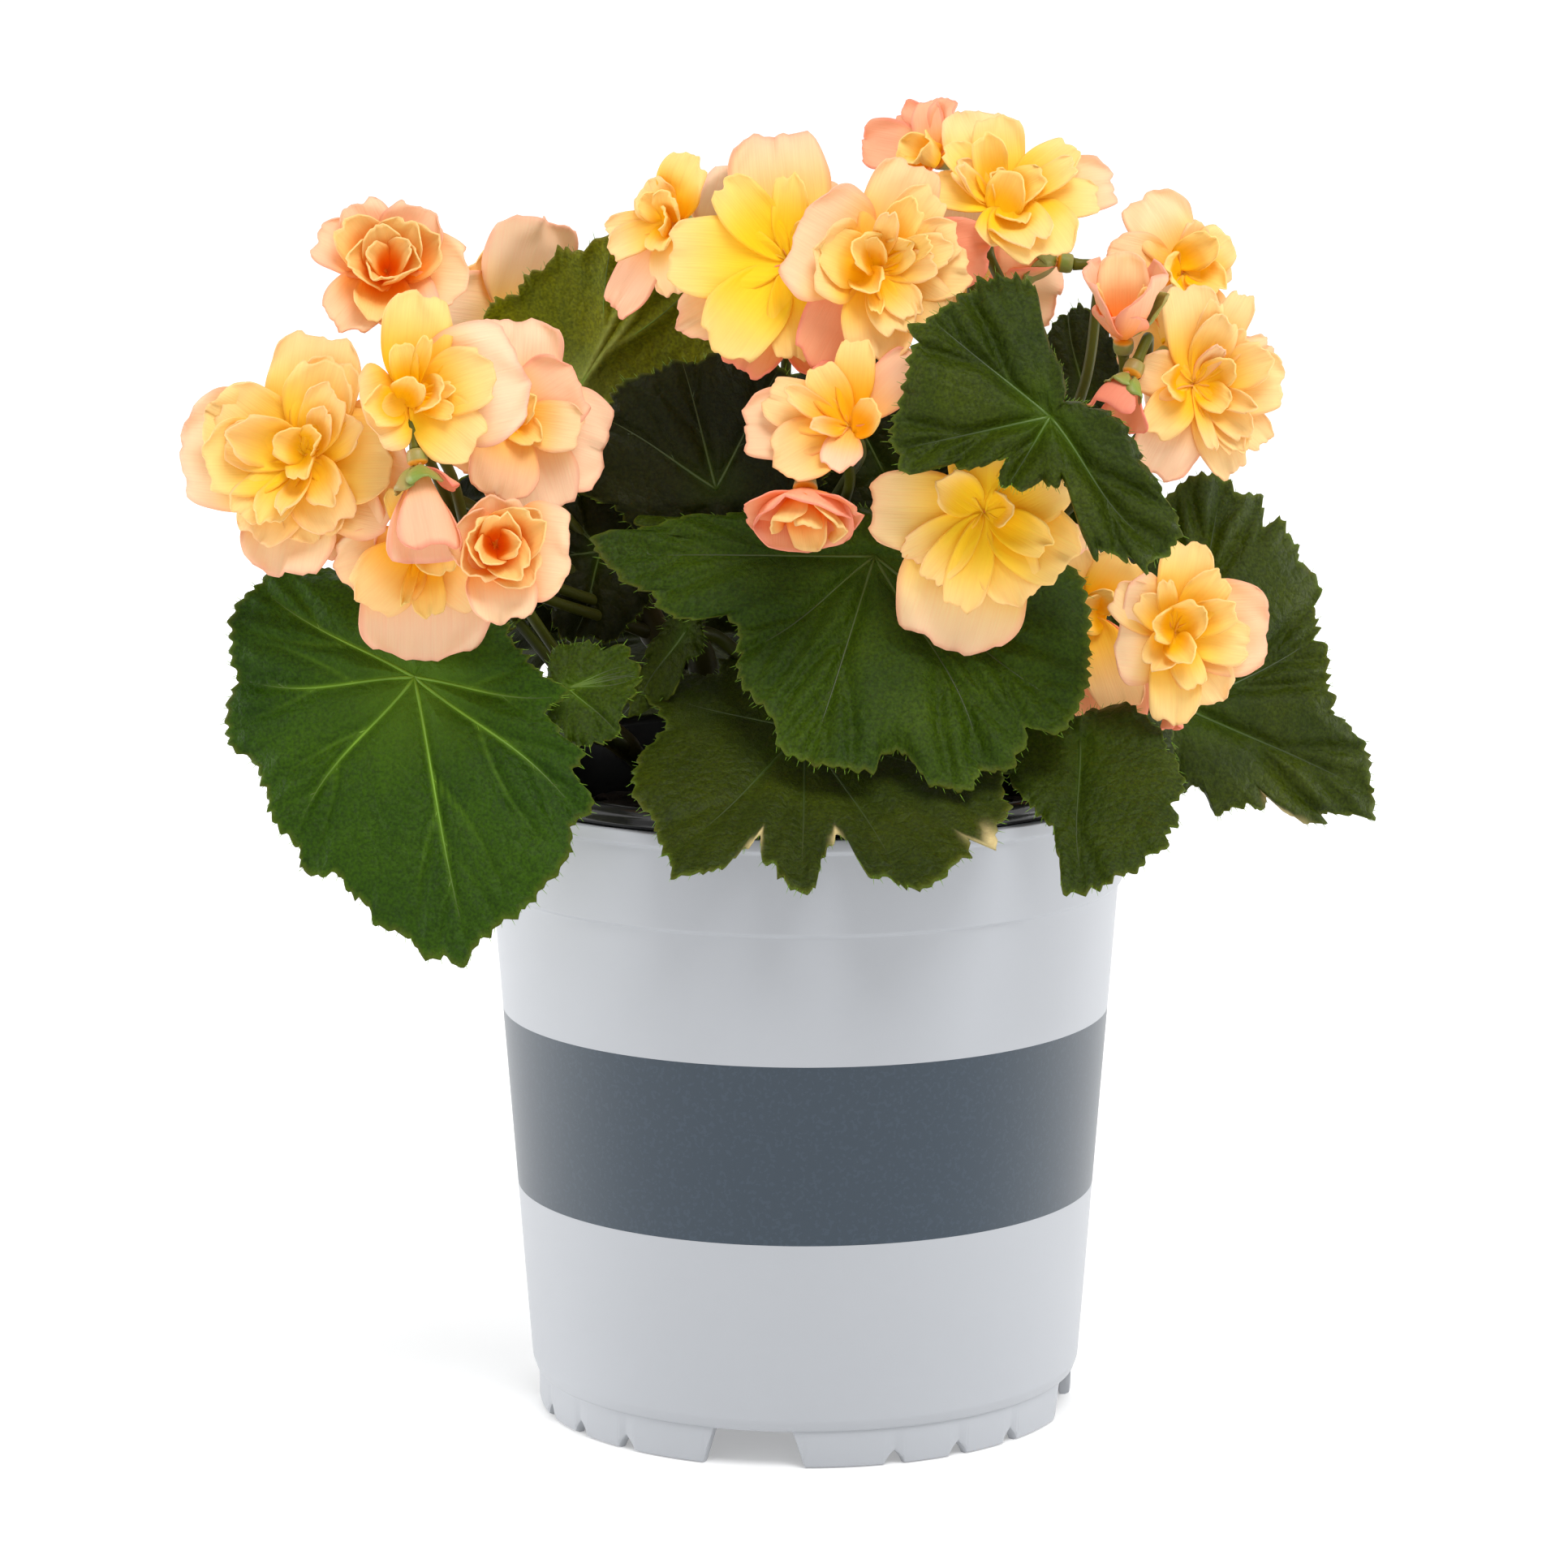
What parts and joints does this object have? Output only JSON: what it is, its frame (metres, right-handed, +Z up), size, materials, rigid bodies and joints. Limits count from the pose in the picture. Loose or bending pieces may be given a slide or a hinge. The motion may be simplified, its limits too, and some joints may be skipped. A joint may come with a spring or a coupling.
{
  "type": "potted begonia",
  "caption": "Double-flowered begonia with apricot-yellow blooms and dark toothed leaves, in a growing pot that stands in a tapered grey cover pot with a banded wall.",
  "frame": {"origin": "middle of the cover pot's foot, on the surface it stands on", "axes": "+Z up, -Y the front of the plant as pictured, +X its right as seen from the front"},
  "size_m": [0.3019, 0.2146, 0.3335],
  "materials": {
    "cover_plastic": "pale grey satin plastic with a fine grain, and a slate-grey printed band round the wall",
    "black_plastic": "shiny black plastic",
    "soil": "dark, loose peat",
    "stem": "fleshy, satin, green to reddish",
    "leaf": "dark green with paler veins, slightly quilted and glossy",
    "petal": "soft, apricot-yellow, paler and pinker at the edges",
    "bud": "soft, coral pink"
  },
  "bodies": {
    "root": {"cover_pot": "cover_plastic", "growing_pot": "black_plastic", "soil": "soil", "stem_left": "stem", "stem_left_low": "stem", "stem_middle": "stem", "stem_front": "stem", "stem_right": "stem", "stem_right_low": "stem", "stem_rear_right": "stem", "stem_rear_left": "stem", "leaf_left_low": "leaf", "leaf_left_high": "leaf", "leaf_middle_back": "leaf", "leaf_left_back": "leaf", "leaf_middle_large": "leaf", "leaf_front_low": "leaf", "leaf_right_low": "leaf", "leaf_right_large": "leaf", "leaf_top_front": "leaf", "leaf_young": "leaf", "leaf_side_right": "leaf", "leaf_side_left": "leaf", "leaf_rear_1": "leaf", "leaf_rear_2": "leaf", "leaf_rear_3": "leaf", "leaf_rear_4": "leaf", "leaf_rear_5": "leaf", "leaf_rear_6": "leaf", "leaf_rear_7": "leaf", "bloom_left_1": "petal", "bloom_left_2": "petal", "bloom_left_3": "petal", "bloom_left_4": "petal", "bloom_left_5": "petal", "bloom_left_6": "petal", "bloom_middle_1": "petal", "bloom_middle_2": "petal", "bloom_middle_3": "petal", "bloom_middle_4": "petal", "bloom_middle_5": "petal", "bloom_top_1": "petal", "bloom_top_2": "petal", "bloom_top_3": "petal", "bloom_right_1": "petal", "bloom_right_2": "petal", "bloom_right_3": "petal", "bloom_right_4": "petal", "bloom_right_5": "petal", "bloom_front": "petal", "bud_left": "bud", "bud_right": "bud", "bud_low": "bud", "bloom_rear_1": "petal", "bloom_rear_2": "petal", "bloom_rear_3": "petal", "bloom_rear_4": "petal", "bloom_rear_5": "petal"}
  },
  "joints": []
}
